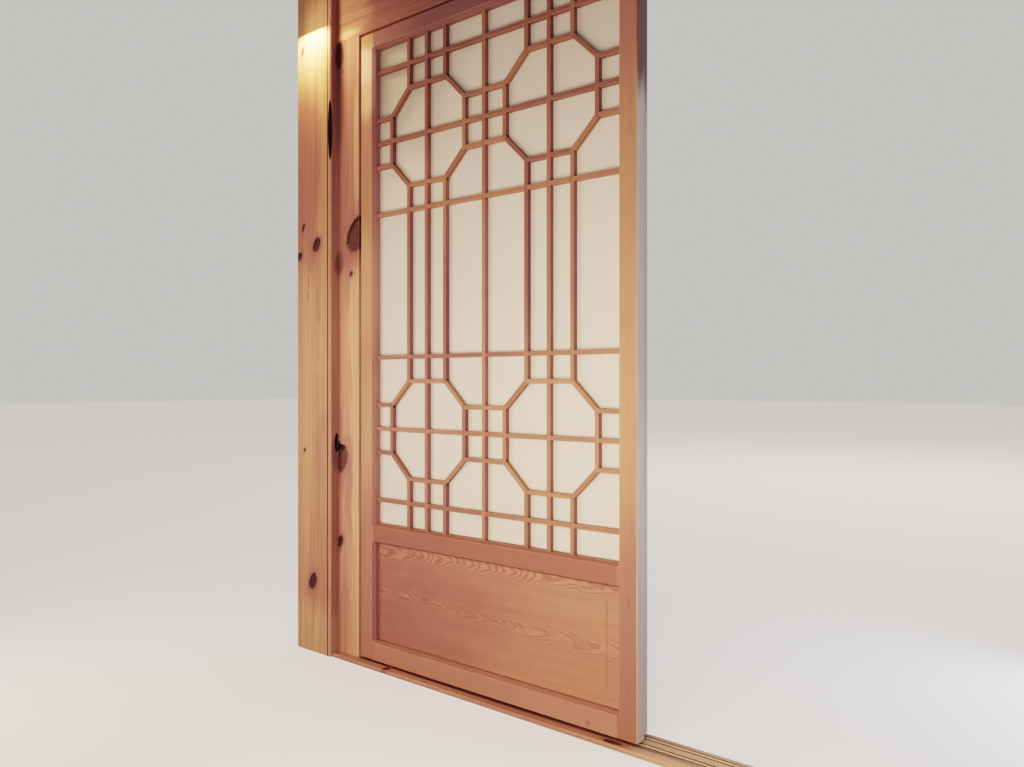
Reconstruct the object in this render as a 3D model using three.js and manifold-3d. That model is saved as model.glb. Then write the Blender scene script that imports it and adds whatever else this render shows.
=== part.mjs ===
// A sliding lattice door bay for a timber house, in millimetres.
// +X runs along the wall to the right, +Y into the depth of the wall, +Z up.
// The origin is the centre of the left column's foot, on the finished floor.
//
// Two columns carry a grooved lintel. Between them lie a low sill with two
// inlaid tracks and two jambs. Two paper-backed lattice leaves roll on the
// tracks, one behind the other, and both stand at the left, so the way is open.
import * as THREE from 'three';
import { mergeVertices } from 'three/addons/utils/BufferGeometryUtils.js';
import Module from 'manifold-3d';

const wasm = await Module();
wasm.setup();

// Gaps: touching pieces keep TOUCH, moving pieces keep CLEARANCE
const TOUCH = 0.3;
const CLEARANCE = 5;

// Cutting tools run past the faces that they cut through
const OVERRUN = 1;
const WELD_TOLERANCE = 0.001;

// Leaf: an outer frame round a tall lattice opening and a low panel
const LEAF_WIDTH = 917;
const LEAF_DEPTH = 32;
const STILE_WIDTH = 52;
const TOP_RAIL_HEIGHT = 47;
const MID_RAIL_HEIGHT = 56;
const BOTTOM_RAIL_HEIGHT = 56;
const PANEL_HEIGHT = 283;
const CHAMFER_WIDTH = 6;
const CHAMFER_DEPTH = 10;

// Lattice: a grid of square cells. Octagons are four cells wide and high
const CELL = 68.9;
const LATTICE_ROWS = 20;
const BAR_WIDTH = 10.5;
const BAR_DEPTH = 14;
const BAR_SETBACK = 13;
const PAPER_THICKNESS = 1;
const PANEL_SETBACK = 21;
const PANEL_THICKNESS = 7;

// Guide tongue on the leaf's head, and the lintel's groove round it
const TONGUE_WIDTH = 10;
const TONGUE_HEIGHT = 20;
const HEAD_GAP = 6;
const LINTEL_GROOVE_WIDTH = TONGUE_WIDTH + 2 * CLEARANCE;
const LINTEL_GROOVE_DEPTH = 22;

// Rollers let into the leaf's foot
const ROLLER_RADIUS = 13;
const ROLLER_WIDTH = 6;
const ROLLER_SIDES = 32;
const AXLE_RADIUS = 2.5;
const ROLLER_INSET = 150;
const MORTISE_WIDTH = 12;
const MORTISE_SLACK = 2;

// Timber frame
const COLUMN_SIDE = 160;
const COLUMN_HEIGHT = 2100;
const COLUMN_CHAMFER = 4;
const COLUMN_PROUD = 34;
const JAMB_WIDTH = 93;
const JAMB_PROUD = 4;
const JAMB_REBATE = 12;
const LINTEL_HEIGHT = 200;

// Sill and its inlaid tracks
const SILL_HEIGHT = 10;
const SILL_PROUD = 28;
const SILL_CHAMFER = 3;
const TRACK_WIDTH = 7;
const TRACK_GROOVE_WIDTH = 11;
const TRACK_GROOVE_DEPTH = 6;

// Heights
const sillTop = SILL_HEIGHT;
const leafBottom = sillTop + CLEARANCE;
const panelBottom = leafBottom + BOTTOM_RAIL_HEIGHT;
const panelTop = panelBottom + PANEL_HEIGHT;
const latticeBottom = panelTop + MID_RAIL_HEIGHT;
const latticeTop = latticeBottom + LATTICE_ROWS * CELL;
const leafTop = latticeTop + TOP_RAIL_HEIGHT;
const tongueTop = leafTop + TONGUE_HEIGHT;
const lintelBottom = leafTop + HEAD_GAP;
const lintelTop = lintelBottom + LINTEL_HEIGHT;

// Places along the wall. The leaves meet in the middle with their stiles one
// behind the other, so the way between the jambs is two leaves less a stile
const columnHalf = COLUMN_SIDE / 2;
const openingLeft = columnHalf + JAMB_WIDTH;
const openingWidth = 2 * LEAF_WIDTH - STILE_WIDTH + 2 * CLEARANCE;
const openingRight = openingLeft + openingWidth;
const farColumnX = openingRight + JAMB_WIDTH + columnHalf;
const frontLeafLeft = openingLeft + CLEARANCE;
const backLeafLeft = frontLeafLeft - JAMB_REBATE;

// Places in the depth of the wall
const frontLeafFace = -columnHalf + COLUMN_PROUD;
const backLeafFace = frontLeafFace + LEAF_DEPTH + CLEARANCE;
const backLeafRear = backLeafFace + LEAF_DEPTH;
const boardFront = frontLeafFace - JAMB_PROUD;
const boardBack = backLeafRear + JAMB_PROUD;
const rebateStart = frontLeafFace + LEAF_DEPTH;
const frontTrackY = frontLeafFace + LEAF_DEPTH / 2;
const backTrackY = backLeafFace + LEAF_DEPTH / 2;

const finishes = {
  columnPine: new THREE.MeshStandardMaterial({ color: 0xc69864, roughness: 0.55 }),
  framePine: new THREE.MeshStandardMaterial({ color: 0xc08a5c, roughness: 0.55 }),
  lintelPine: new THREE.MeshStandardMaterial({ color: 0xa8684c, roughness: 0.55 }),
  leafPine: new THREE.MeshStandardMaterial({ color: 0xc38a5e, roughness: 0.5 }),
  panelWood: new THREE.MeshStandardMaterial({ color: 0xb87a5e, roughness: 0.5 }),
  paper: new THREE.MeshStandardMaterial({ color: 0xdcd2c2, roughness: 0.6 }),
  trackWood: new THREE.MeshStandardMaterial({ color: 0xc9a070, roughness: 0.45 }),
  rollerNylon: new THREE.MeshStandardMaterial({ color: 0xd8d4c8, roughness: 0.4 }),
};

// Closed outlines are lists of [a, b] pairs, run anticlockwise
function extrudeOutline(points, length) {
  const shape = new THREE.Shape(points.map(([a, b]) => new THREE.Vector2(a, b)));
  return new THREE.ExtrudeGeometry(shape, { depth: length, bevelEnabled: false });
}

// Upright prism: the outline lies in plan, as [x, y]
function uprightPrism(points, zLow, zHigh) {
  return extrudeOutline(points, zHigh - zLow).translate(0, 0, zLow);
}

// Lengthways prism: the outline is a cross-section, as [y, z], run along X
function lengthwaysPrism(points, xLow, xHigh) {
  const turn = new THREE.Matrix4().makeBasis(
    new THREE.Vector3(0, 1, 0),
    new THREE.Vector3(0, 0, 1),
    new THREE.Vector3(1, 0, 0),
  );
  return extrudeOutline(points, xHigh - xLow).applyMatrix4(turn).translate(xLow, 0, 0);
}

function block(xLow, xHigh, yLow, yHigh, zLow, zHigh) {
  const box = new THREE.BoxGeometry(xHigh - xLow, yHigh - yLow, zHigh - zLow);
  return box.translate((xLow + xHigh) / 2, (yLow + yHigh) / 2, (zLow + zHigh) / 2);
}

function rectangle(aLow, aHigh, bLow, bHigh) {
  return [[aLow, bLow], [aHigh, bLow], [aHigh, bHigh], [aLow, bHigh]];
}

function toSolid(geometry) {
  const bare = geometry.clone();
  bare.deleteAttribute('normal');
  bare.deleteAttribute('uv');
  const merged = mergeVertices(bare, WELD_TOLERANCE);
  return new wasm.Manifold(new wasm.Mesh({
    numProp: 3,
    vertProperties: new Float32Array(merged.attributes.position.array),
    triVerts: new Uint32Array(merged.index.array),
  }));
}

function toGeometry(solid) {
  const mesh = solid.getMesh();
  const geometry = new THREE.BufferGeometry();
  geometry.setAttribute('position', new THREE.BufferAttribute(mesh.vertProperties, 3));
  geometry.setIndex(new THREE.BufferAttribute(mesh.triVerts, 1));
  geometry.computeVertexNormals();
  return geometry;
}

function cut(geometry, tools) {
  const result = tools.reduce((solid, tool) => solid.subtract(toSolid(tool)), toSolid(geometry));
  return toGeometry(result);
}

function piece(name, geometry, finish) {
  const mesh = new THREE.Mesh(geometry, finish);
  mesh.name = name;
  return mesh;
}

// A square column with its four long edges taken off
function column(name, centreX) {
  const outer = columnHalf;
  const inner = columnHalf - COLUMN_CHAMFER;
  const outline = [
    [-inner, -outer], [inner, -outer], [outer, -inner], [outer, inner],
    [inner, outer], [-inner, outer], [-outer, inner], [-outer, -inner],
  ];
  const mesh = piece(name, uprightPrism(outline, 0, COLUMN_HEIGHT), finishes.columnPine);
  mesh.position.x = centreX;
  return mesh;
}

// A jamb board stands on the sill. It steps back behind the front leaf, where
// the back leaf's edge beds when it closes. side is 1 for the left jamb
function jamb(name, columnFace, side) {
  const near = columnFace + side * TOUCH;
  const face = columnFace + side * JAMB_WIDTH;
  const rebateFace = face - side * JAMB_REBATE;
  const outline = [
    [near, boardFront], [face, boardFront], [face, rebateStart],
    [rebateFace, rebateStart], [rebateFace, boardBack], [near, boardBack],
  ];
  if (side < 0) {
    outline.reverse();
  }
  const board = uprightPrism(outline, sillTop + TOUCH, lintelBottom - TOUCH);
  return piece(name, board, finishes.framePine);
}

// The lintel's underside has a groove over each track for the leaves' tongues
function lintel() {
  const grooveTop = lintelBottom + LINTEL_GROOVE_DEPTH;
  const grooveHalf = LINTEL_GROOVE_WIDTH / 2;
  const grooves = [frontTrackY, backTrackY].flatMap((y) => [
    [y - grooveHalf, lintelBottom], [y - grooveHalf, grooveTop],
    [y + grooveHalf, grooveTop], [y + grooveHalf, lintelBottom],
  ]);
  const section = [
    [boardFront, lintelBottom], ...grooves, [boardBack, lintelBottom],
    [boardBack, lintelTop], [boardFront, lintelTop],
  ];
  const left = columnHalf + TOUCH;
  const right = farColumnX - columnHalf - TOUCH;
  return piece('lintel', lengthwaysPrism(section, left, right), finishes.lintelPine);
}

// The sill lies on the floor, with its front edge eased and two track grooves
function sill() {
  const front = frontLeafFace - SILL_PROUD;
  const grooveBottom = sillTop - TRACK_GROOVE_DEPTH;
  const grooveHalf = TRACK_GROOVE_WIDTH / 2;
  const grooves = [backTrackY, frontTrackY].flatMap((y) => [
    [y + grooveHalf, sillTop], [y + grooveHalf, grooveBottom],
    [y - grooveHalf, grooveBottom], [y - grooveHalf, sillTop],
  ]);
  const section = [
    [front, 0], [boardBack, 0], [boardBack, sillTop], ...grooves,
    [front + SILL_CHAMFER, sillTop], [front, sillTop - SILL_CHAMFER],
  ];
  const left = columnHalf + TOUCH;
  const right = farColumnX - columnHalf - TOUCH;
  return piece('sill', lengthwaysPrism(section, left, right), finishes.framePine);
}

// A hardwood strip lies in each groove, level with the sill
function track(name, centreY) {
  const section = rectangle(
    centreY - TRACK_WIDTH / 2,
    centreY + TRACK_WIDTH / 2,
    sillTop - TRACK_GROOVE_DEPTH + TOUCH,
    sillTop,
  );
  const strip = lengthwaysPrism(section, openingLeft + TOUCH, openingRight - TOUCH);
  return piece(name, strip, finishes.trackWood);
}

// A wedge-sided plug that takes the chamfer off the frame round an opening:
// as wide as the opening at the chamfer's depth, and wider at the face
function chamferPlug(xLow, xHigh, zLow, zHigh) {
  const spill = CHAMFER_WIDTH * (1 + OVERRUN / CHAMFER_DEPTH);
  const face = rectangle(xLow - spill, xHigh + spill, zLow - spill, zHigh + spill);
  const neck = rectangle(xLow, xHigh, zLow, zHigh);
  const corners = [
    ...face.map(([x, z]) => [x, -OVERRUN, z]),
    ...neck.map(([x, z]) => [x, CHAMFER_DEPTH, z]),
  ];
  const sides = [0, 1, 2, 3].flatMap((i) => {
    const next = (i + 1) % 4;
    return [i, i + 4, next, next, i + 4, next + 4];
  });
  const geometry = new THREE.BufferGeometry();
  geometry.setAttribute('position', new THREE.Float32BufferAttribute(corners.flat(), 3));
  geometry.setIndex([0, 1, 2, 0, 2, 3, 4, 6, 5, 4, 7, 6, ...sides]);
  return geometry;
}

// The leaf's own frame: x from 0 at its left edge, y from 0 at its front face
const openingLow = STILE_WIDTH;
const openingHigh = LEAF_WIDTH - STILE_WIDTH;
const chamferPlugs = [
  chamferPlug(openingLow, openingHigh, panelBottom, panelTop),
  chamferPlug(openingLow, openingHigh, latticeBottom, latticeTop),
];

// Cross-section of the leaf's head: a tongue stands on the middle of it
function headSection(zLow) {
  const tongueFront = (LEAF_DEPTH - TONGUE_WIDTH) / 2;
  const tongueRear = tongueFront + TONGUE_WIDTH;
  return [
    [0, zLow], [LEAF_DEPTH, zLow], [LEAF_DEPTH, leafTop], [tongueRear, leafTop],
    [tongueRear, tongueTop], [tongueFront, tongueTop], [tongueFront, leafTop], [0, leafTop],
  ];
}

function stile(xLow) {
  return cut(lengthwaysPrism(headSection(leafBottom), xLow, xLow + STILE_WIDTH), chamferPlugs);
}

function topRail() {
  const rail = lengthwaysPrism(headSection(latticeTop), openingLow + TOUCH, openingHigh - TOUCH);
  return cut(rail, chamferPlugs);
}

function midRail() {
  const low = openingLow + TOUCH;
  const high = openingHigh - TOUCH;
  return cut(block(low, high, 0, LEAF_DEPTH, panelTop, latticeBottom), chamferPlugs);
}

const rollerCentres = [ROLLER_INSET, LEAF_WIDTH - ROLLER_INSET];
const rollerZ = sillTop + TOUCH + ROLLER_RADIUS;

// The bottom rail has a mortise in its foot for each roller
function bottomRail() {
  const half = ROLLER_RADIUS + MORTISE_SLACK;
  const mortises = rollerCentres.map((x) => block(
    x - half,
    x + half,
    (LEAF_DEPTH - MORTISE_WIDTH) / 2,
    (LEAF_DEPTH + MORTISE_WIDTH) / 2,
    leafBottom - OVERRUN,
    rollerZ + half,
  ));
  const low = openingLow + TOUCH;
  const high = openingHigh - TOUCH;
  const rail = block(low, high, 0, LEAF_DEPTH, leafBottom, panelBottom);
  return cut(rail, [...chamferPlugs, ...mortises]);
}

function panel() {
  return block(
    openingLow + TOUCH,
    openingHigh - TOUCH,
    PANEL_SETBACK,
    PANEL_SETBACK + PANEL_THICKNESS,
    panelBottom + TOUCH,
    panelTop - TOUCH,
  );
}

function paper() {
  const front = BAR_SETBACK + BAR_DEPTH + TOUCH;
  return block(
    openingLow + TOUCH,
    openingHigh - TOUCH,
    front,
    front + PAPER_THICKNESS,
    latticeBottom + TOUCH,
    latticeTop - TOUCH,
  );
}

// One wheel with its axle, turned about the wall's depth
function roller() {
  const axleHalf = MORTISE_WIDTH / 2 - TOUCH;
  const wheelHalf = ROLLER_WIDTH / 2;
  const profile = [
    [0, -axleHalf], [AXLE_RADIUS, -axleHalf], [AXLE_RADIUS, -wheelHalf],
    [ROLLER_RADIUS, -wheelHalf], [ROLLER_RADIUS, wheelHalf], [AXLE_RADIUS, wheelHalf],
    [AXLE_RADIUS, axleHalf], [0, axleHalf],
  ];
  const points = profile.map(([r, y]) => new THREE.Vector2(r, y));
  return new THREE.LatheGeometry(points, ROLLER_SIDES);
}

// A straight bar of the lattice from one point of its plane to another, made
// longer by lowEnd and highEnd
function bar(from, to, lowEnd, highEnd) {
  const span = to.clone().sub(from);
  const length = span.length() + lowEnd + highEnd;
  const box = new THREE.BoxGeometry(length, BAR_DEPTH, BAR_WIDTH);
  box.translate((highEnd - lowEnd) / 2, 0, 0);
  box.rotateY(-Math.atan2(span.y, span.x));
  const middle = from.clone().add(to).multiplyScalar(0.5);
  return box.translate(middle.x, BAR_SETBACK + BAR_DEPTH / 2, middle.y);
}

// The lattice: two columns of octagons, joined by a grid of straight bars. The
// octagons are centred three cells either side of the middle, and four cells
// from the lattice's foot and head. A level bar passes a cell beyond each one
function lattice() {
  const low = openingLow + TOUCH;
  const high = openingHigh - TOUCH;
  const bottom = latticeBottom + TOUCH;
  const top = latticeTop - TOUCH;
  const middleX = LEAF_WIDTH / 2;
  const octagonXs = [middleX - 3 * CELL, middleX + 3 * CELL];
  const octagonZs = [latticeBottom + 4 * CELL, latticeTop - 4 * CELL];
  const crossZs = [1, 7].flatMap((n) => [latticeBottom + n * CELL, latticeTop - n * CELL]);
  const overlap = BAR_WIDTH / 2;
  const bars = [];

  const upright = (x, zFrom, zTo, lowEnd = overlap, highEnd = overlap) => {
    bars.push(bar(new THREE.Vector2(x, zFrom), new THREE.Vector2(x, zTo), lowEnd, highEnd));
  };
  const level = (z, xFrom, xTo, lowEnd = overlap, highEnd = overlap) => {
    bars.push(bar(new THREE.Vector2(xFrom, z), new THREE.Vector2(xTo, z), lowEnd, highEnd));
  };

  // Bars that run the whole height or width
  [middleX, ...octagonXs].forEach((x) => upright(x, bottom, top, 0, 0));
  [...crossZs, ...octagonZs].forEach((z) => level(z, low, high, 0, 0));

  // Pairs of uprights beside each octagon's centre line, above, between and below
  const [lowZ, highZ] = octagonZs;
  octagonXs.flatMap((x) => [x - CELL, x + CELL]).forEach((x) => {
    upright(x, bottom, lowZ - 2 * CELL, 0);
    upright(x, lowZ + 2 * CELL, highZ - 2 * CELL);
    upright(x, highZ + 2 * CELL, top, overlap, 0);
  });

  // Pairs of level bars beside each row's centre line, outside the octagons
  const [leftX, rightX] = octagonXs;
  octagonZs.flatMap((z) => [z - CELL, z + CELL]).forEach((z) => {
    level(z, low, leftX - 2 * CELL, 0);
    level(z, leftX + 2 * CELL, rightX - 2 * CELL);
    level(z, rightX + 2 * CELL, high, overlap, 0);
  });

  // Four straight and four slanted sides of each octagon
  const signs = [-1, 1];
  octagonXs.forEach((x) => octagonZs.forEach((z) => signs.forEach((side) => {
    upright(x + side * 2 * CELL, z - CELL, z + CELL);
    level(z + side * 2 * CELL, x - CELL, x + CELL);
    signs.forEach((rise) => {
      const shoulder = new THREE.Vector2(x + side * CELL, z + rise * 2 * CELL);
      const waist = new THREE.Vector2(x + side * 2 * CELL, z + rise * CELL);
      bars.push(bar(shoulder, waist, 0, 0));
    });
  })));

  const joined = bars.map(toSolid).reduce((whole, next) => whole.add(next));
  return toGeometry(joined);
}

// One leaf, as ten pieces in a group that is placed at the leaf's front left
const leafParts = {
  left_stile: [stile(0), finishes.leafPine],
  right_stile: [stile(LEAF_WIDTH - STILE_WIDTH), finishes.leafPine],
  top_rail: [topRail(), finishes.leafPine],
  mid_rail: [midRail(), finishes.leafPine],
  bottom_rail: [bottomRail(), finishes.leafPine],
  panel: [panel(), finishes.panelWood],
  lattice: [lattice(), finishes.leafPine],
  paper: [paper(), finishes.paper],
};

function leaf(prefix, leftX, faceY) {
  const group = new THREE.Group();
  group.position.set(leftX, faceY, 0);
  Object.entries(leafParts).forEach(([name, [geometry, finish]]) => {
    group.add(piece(`${prefix}_${name}`, geometry, finish));
  });
  ['left', 'right'].forEach((side, i) => {
    const wheel = piece(`${prefix}_${side}_roller`, roller(), finishes.rollerNylon);
    wheel.position.set(rollerCentres[i], LEAF_DEPTH / 2, rollerZ);
    group.add(wheel);
  });
  return group;
}

const bay = new THREE.Group();
bay.add(
  column('left_column', 0),
  column('right_column', farColumnX),
  jamb('left_jamb', columnHalf, 1),
  jamb('right_jamb', farColumnX - columnHalf, -1),
  lintel(),
  sill(),
  track('front_track', frontTrackY),
  track('back_track', backTrackY),
  leaf('front_leaf', frontLeafLeft, frontLeafFace),
  leaf('back_leaf', backLeafLeft, backLeafFace),
);

export default bay;
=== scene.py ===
# %% [markdown]
# # A sliding lattice door bay
# This scene dresses one bay of a traditional timber house: two knotty pine columns, two jambs, a
# lintel, a low sill with two inlaid tracks, and two paper-backed lattice leaves that slide past
# each other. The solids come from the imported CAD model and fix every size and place. Blender adds
# what they leave out: eased and worn arrises, hollows where the timber has split, grooves beside
# the tracks, the lattice bar by bar, and the grain of each board.
#
# The first step loads the solids and keeps their box, because the dressed bay must not outgrow it.

# %% Load the solids
import math
import random

import bpy
from mathutils import Matrix, Vector


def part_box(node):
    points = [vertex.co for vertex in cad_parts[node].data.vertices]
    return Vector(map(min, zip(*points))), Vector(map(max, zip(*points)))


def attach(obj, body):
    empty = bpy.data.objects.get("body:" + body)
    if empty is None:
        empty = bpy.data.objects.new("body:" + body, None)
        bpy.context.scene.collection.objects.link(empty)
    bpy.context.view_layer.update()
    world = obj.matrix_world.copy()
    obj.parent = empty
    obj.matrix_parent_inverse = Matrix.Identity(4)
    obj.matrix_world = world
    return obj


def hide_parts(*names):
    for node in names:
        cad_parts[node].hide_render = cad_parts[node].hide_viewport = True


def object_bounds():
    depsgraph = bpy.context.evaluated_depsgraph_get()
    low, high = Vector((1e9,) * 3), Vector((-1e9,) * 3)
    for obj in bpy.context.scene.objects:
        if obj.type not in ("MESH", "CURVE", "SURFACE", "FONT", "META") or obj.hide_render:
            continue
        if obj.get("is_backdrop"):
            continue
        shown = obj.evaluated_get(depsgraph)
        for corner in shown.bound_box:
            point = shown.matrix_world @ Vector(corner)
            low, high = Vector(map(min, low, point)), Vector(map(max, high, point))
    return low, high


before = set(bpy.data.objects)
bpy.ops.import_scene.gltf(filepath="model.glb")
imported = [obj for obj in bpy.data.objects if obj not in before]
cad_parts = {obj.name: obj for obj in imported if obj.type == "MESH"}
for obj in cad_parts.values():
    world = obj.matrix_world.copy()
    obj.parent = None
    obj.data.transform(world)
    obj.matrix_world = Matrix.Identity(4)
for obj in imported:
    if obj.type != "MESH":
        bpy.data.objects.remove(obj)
cad_low, cad_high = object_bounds()
print("solids:", len(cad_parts), "box in metres:", tuple(cad_high - cad_low))

# %% [markdown]
# ## Camera
# The picture to match was taken from the right of the open doorway, at seated eye height, with
# the camera level. A level camera keeps the columns upright, so it is turned about the vertical
# only. The small shift lowers the horizon by two and a half pixels, as in the picture, without
# tilting the camera.

# %% Place the camera
MM = 0.001
IMAGE_WIDTH = 1024
EYE = Vector((1.953, -1.597, 0.824))
EYE_TURN = math.radians(38.0)
LENS = 27.67
SENSOR_WIDTH = 36
HORIZON_ABOVE_MIDDLE = 2.5

bpy.ops.object.camera_add(location=EYE, rotation=(math.radians(90), 0, EYE_TURN))
camera = bpy.context.object
camera.data.lens = LENS
camera.data.sensor_width = SENSOR_WIDTH
camera.data.shift_y = -HORIZON_ABOVE_MIDDLE / IMAGE_WIDTH
camera.data.clip_start = 0.05
bpy.context.scene.camera = camera
nearest_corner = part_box("front_leaf_right_stile")[1]
print("camera", round((EYE - nearest_corner).length, 2), "m from the leaf's upper right corner")

# %% [markdown]
# ## Working by hand, in code
# Operators act on all that is selected, so each step below first lets go of everything, then
# picks the piece, and inside it the edges or faces, by their place. A new piece's place, turn and
# size are then moved into its mesh, because its finish reads positions from there.

# %% Helpers for picking
def pick(*pieces):
    """Selects these objects alone and makes the first one active."""
    if bpy.context.mode != "OBJECT":
        bpy.ops.object.mode_set(mode="OBJECT")
    bpy.ops.object.select_all(action="DESELECT")
    for piece in pieces:
        piece.select_set(True)
    bpy.context.view_layer.objects.active = pieces[0]


def pick_edges(piece, wanted):
    """Goes into edit mode with just the edges selected whose two ends pass the test."""
    pick(piece)
    bpy.ops.object.mode_set(mode="EDIT")
    bpy.ops.mesh.select_mode(type="EDGE")
    bpy.ops.mesh.select_all(action="DESELECT")
    bpy.ops.object.mode_set(mode="OBJECT")
    points = piece.data.vertices
    for edge in piece.data.edges:
        edge.select = wanted(points[edge.vertices[0]].co, points[edge.vertices[1]].co)
    bpy.ops.object.mode_set(mode="EDIT")


def settle(piece):
    """Moves the object's place, turn and scale into its mesh."""
    pick(piece)
    bpy.ops.object.transform_apply(location=True, rotation=True, scale=True)


# %% [markdown]
# A piece starts in one of two ways: as a cube of its full size or, where its solid has the right
# shape already, as a copy of that solid. The copy is merged, because the solid's triangles are
# loose, and flat neighbours are dissolved into whole faces, so that a bevel runs along true edges.

# %% Helpers for starting a piece
MERGE_GAP = 0.01 * MM
FLAT_ANGLE = math.radians(1)


def block(name, low, high):
    """A cube between two corners: the start of a piece, never the whole of it."""
    low, high = Vector(low), Vector(high)
    bpy.ops.mesh.primitive_cube_add(size=1, location=(low + high) / 2, scale=high - low)
    piece = bpy.context.object
    piece.name = name
    settle(piece)
    return piece


def copy_of(source, name):
    """A new object with a mesh of its own."""
    piece = bpy.data.objects.new(name, source.data.copy())
    bpy.context.scene.collection.objects.link(piece)
    return piece


def timber_from(node, name):
    """A merged copy of a solid, with whole faces in place of loose triangles."""
    piece = copy_of(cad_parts[node], name)
    pick(piece)
    bpy.ops.object.mode_set(mode="EDIT")
    bpy.ops.mesh.select_all(action="SELECT")
    bpy.ops.mesh.remove_doubles(threshold=MERGE_GAP)
    bpy.ops.mesh.dissolve_limited(angle_limit=FLAT_ANGLE)
    bpy.ops.object.mode_set(mode="OBJECT")
    bpy.ops.object.shade_flat()
    return piece


# %% [markdown]
# No real arris is as sharp as a knife, so nearly every piece gets a small bevel on its sharp edges.
# Flaws and grooves are cut with a second solid, which is then thrown away. Both are modifiers,
# applied at once, so that the next step finds a plain mesh.

# %% Helpers for easing and carving
SHARP_ANGLE = math.radians(28)


def ease(piece, width, segments=2):
    """Rounds every sharp arris by this width."""
    pick(piece)
    bevel = piece.modifiers.new("ease", "BEVEL")
    bevel.width = width
    bevel.segments = segments
    bevel.limit_method = "ANGLE"
    bevel.angle_limit = SHARP_ANGLE
    bpy.ops.object.modifier_apply(modifier=bevel.name)


def carve(piece, cutter):
    """Takes one solid out of another and throws the cutter away."""
    pick(piece)
    cut = piece.modifiers.new("carve", "BOOLEAN")
    cut.operation = "DIFFERENCE"
    cut.solver = "EXACT"
    cut.object = cutter
    bpy.ops.object.modifier_apply(modifier=cut.name)
    bpy.data.objects.remove(cutter)


# %% [markdown]
# ## Grain and wear go with the mesh
# Wood has a direction, and each board is a different part of a tree. So every timber carries
# attributes for its finish to read. "grain" says where a point lies in the tree, in metres, with
# its third number along the grain and a shift that is the board's own. "worn" is 1 on the narrow
# faces of an arris, where hands and cloths have rubbed the finish thin and the wood looks paler.
# A third attribute is 1 on faces turned to the right, which the finish darkens and cools as painted
# shade. The alternative, a separate material for each board, would mean a dozen copies of one
# finish.

# %% Helpers for grain and wear
TURN_TO_GRAIN = {"X": (1, 2, 0), "Z": (0, 1, 2)}
TURNED_RIGHT = 0.75


def lay_grain(piece, along, shift):
    """Writes each point's place in the tree, with the third number along the grain."""
    order = TURN_TO_GRAIN[along]
    layer = piece.data.attributes.new("grain", "FLOAT_VECTOR", "POINT")
    for point, cell in zip(piece.data.vertices, layer.data):
        cell.vector = [point.co[axis] + shift[i] for i, axis in enumerate(order)]


def mark_wear(piece, arris_width):
    """Marks the faces that are narrower than this, measured as area over length."""
    layer = piece.data.attributes.new("worn", "FLOAT", "FACE")
    points = piece.data.vertices
    count = 0
    for face, cell in zip(piece.data.polygons, layer.data):
        length = max((points[a].co - points[b].co).length for a, b in face.edge_keys)
        cell.value = 1.0 if face.area < arris_width * length else 0.0
        count += int(cell.value)
    return count


def mark_right_shade(piece):
    """Marks the faces turned to the right, which the finish darkens as painted shade."""
    layer = piece.data.attributes.new("smoked", "FLOAT", "FACE")
    for face, cell in zip(piece.data.polygons, layer.data):
        cell.value = 1.0 if face.normal.x > TURNED_RIGHT else 0.0


def paint(piece, finish):
    """Gives a piece this finish alone."""
    piece.data.materials.clear()
    piece.data.materials.append(finish)


def dress(piece, body, slot, finish, *nodes):
    """Gives a finished piece its finish and its body, and hides the solids it stands for. The slot
    is not used.
    """
    paint(piece, finish)
    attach(piece, body)
    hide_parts(*nodes)


# %% [markdown]
# ## Writing finishes as sums
# A finish is built from nodes, but long chains of them are hard to read. The class below wraps one
# socket, so that ordinary arithmetic on it adds Math nodes. One method adds any other node: its
# settings come first, then what goes into its sockets.

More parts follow.
